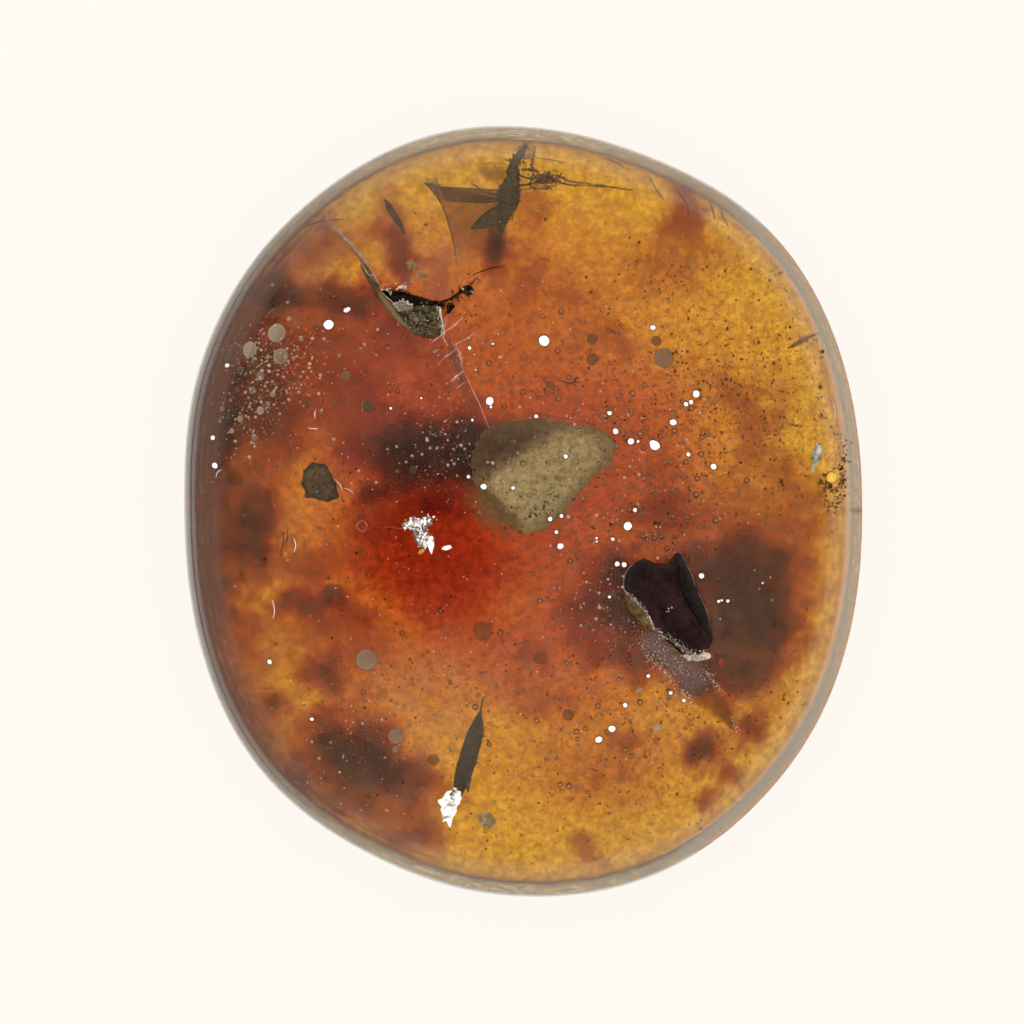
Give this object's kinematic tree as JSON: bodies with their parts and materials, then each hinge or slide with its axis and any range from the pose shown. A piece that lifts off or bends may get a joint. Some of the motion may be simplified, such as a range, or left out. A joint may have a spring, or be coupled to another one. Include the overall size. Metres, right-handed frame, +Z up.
{
  "type": "insect in amber",
  "caption": "Polished oval amber cabochon with a sealed fly, leaf scraps and bark flakes, lying on its flat underside.",
  "frame": {"origin": "middle of the flat underside, on the surface that the stone lies on", "axes": "+Y along the stone's long axis towards the end that holds the insect, +X across it towards the ground flank, +Z up out of the dome"},
  "size_m": [0.0334, 0.0379, 0.0125],
  "materials": {
    "amber": "polished",
    "insect": "matte",
    "leaf": "matte",
    "bark": "rough",
    "chip": "rough",
    "pale": "satin",
    "crust": "rough"
  },
  "bodies": {
    "root": {"amber_lower": "amber", "amber_upper": "amber", "insect": "insect", "leaf_sliver": "leaf", "plant_sliver": "leaf", "bark_flake": "bark", "dark_chip": "chip", "pale_flake": "pale", "crevice_fill": "crust"}
  },
  "joints": []
}
